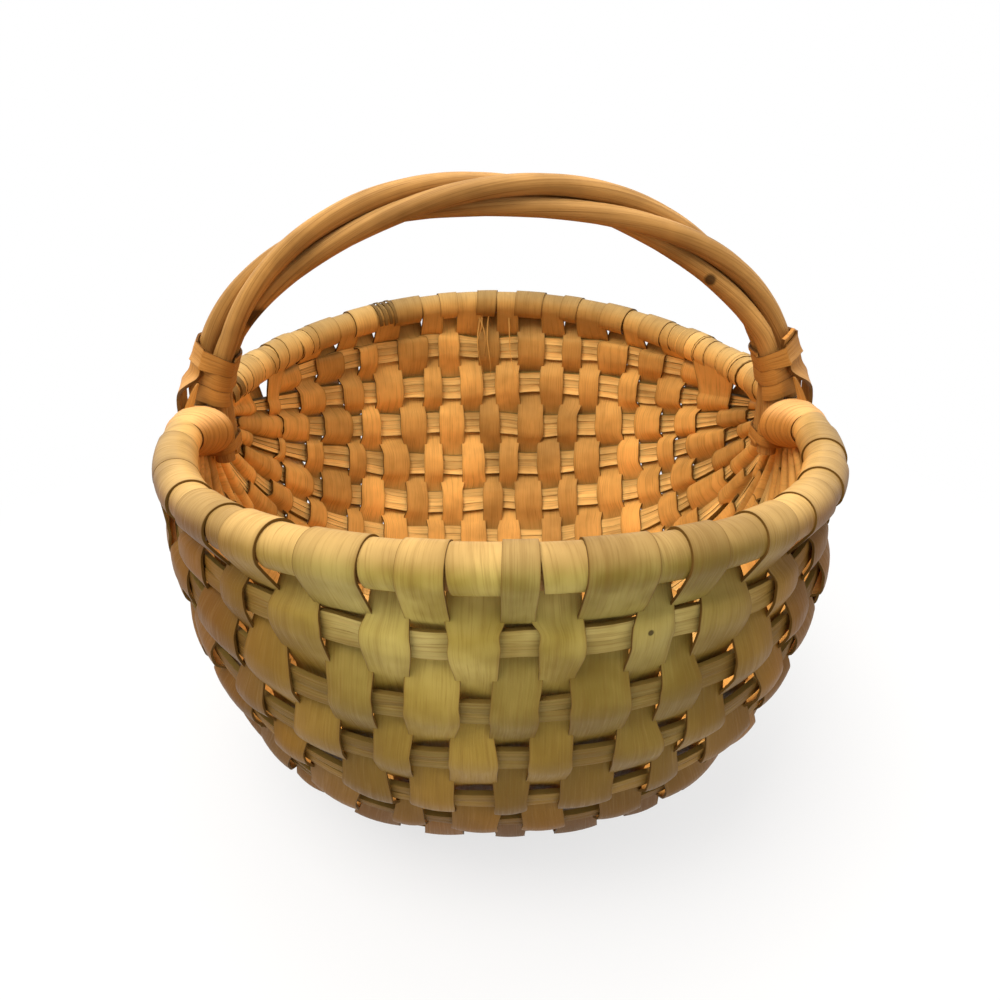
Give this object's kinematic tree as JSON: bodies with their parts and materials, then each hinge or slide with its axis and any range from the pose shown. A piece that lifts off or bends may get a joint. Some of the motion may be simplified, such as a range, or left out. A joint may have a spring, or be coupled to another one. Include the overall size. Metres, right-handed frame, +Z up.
{
  "type": "splint rib basket",
  "caption": "Deep two-lobed rib basket woven from flat wood splints over ear-to-ear ribs, with a wrapped round rim and a fixed arched handle of twisted rods",
  "frame": {"origin": "on the ground under the middle of the basket", "axes": "+Z up, +X along the handle's span from the left ear to the right ear, +Y from front to back"},
  "size_m": [0.3202, 0.3668, 0.2887],
  "materials": {
    "rim": "bare bent rod, satin",
    "rib": "bare split wood, coarse grain",
    "weaver": "bare flat splint, soft sheen",
    "handle": "bare bent rod, satin",
    "binding": "bare flat splint, soft sheen"
  },
  "bodies": {
    "root": {"rim_hoop": "rim", "keel_rib": "rib", "front_rib_01": "rib", "back_rib_01": "rib", "front_rib_02": "rib", "back_rib_02": "rib", "front_rib_03": "rib", "back_rib_03": "rib", "front_rib_04": "rib", "back_rib_04": "rib", "front_rib_05": "rib", "back_rib_05": "rib", "front_rib_06": "rib", "back_rib_06": "rib", "front_rib_07": "rib", "back_rib_07": "rib", "front_rib_08": "rib", "back_rib_08": "rib", "front_rib_09": "rib", "back_rib_09": "rib", "front_rib_10": "rib", "back_rib_10": "rib", "weaver_01": "weaver", "weaver_02": "weaver", "weaver_03": "weaver", "weaver_04": "weaver", "weaver_05": "weaver", "weaver_06": "weaver", "weaver_07": "weaver", "weaver_08": "weaver", "weaver_09": "weaver", "weaver_10": "weaver", "weaver_11": "weaver", "weaver_12": "weaver", "weaver_13": "weaver", "weaver_14": "weaver", "weaver_15": "weaver", "weaver_16": "weaver", "weaver_17": "weaver", "weaver_18": "weaver", "weaver_19": "weaver", "weaver_20": "weaver", "weaver_21": "weaver", "weaver_22": "weaver", "weaver_23": "weaver", "weaver_24": "weaver", "weaver_25": "weaver", "weaver_26": "weaver", "weaver_27": "weaver", "handle_rod_01": "handle", "handle_rod_02": "handle", "handle_rod_03": "handle", "ear_strap_left": "binding", "ear_strap_right": "binding", "leg_winding_left": "binding", "foot_winding_left": "binding", "ear_wrap_left": "binding", "leg_winding_right": "binding", "foot_winding_right": "binding", "ear_wrap_right": "binding"}
  },
  "joints": []
}
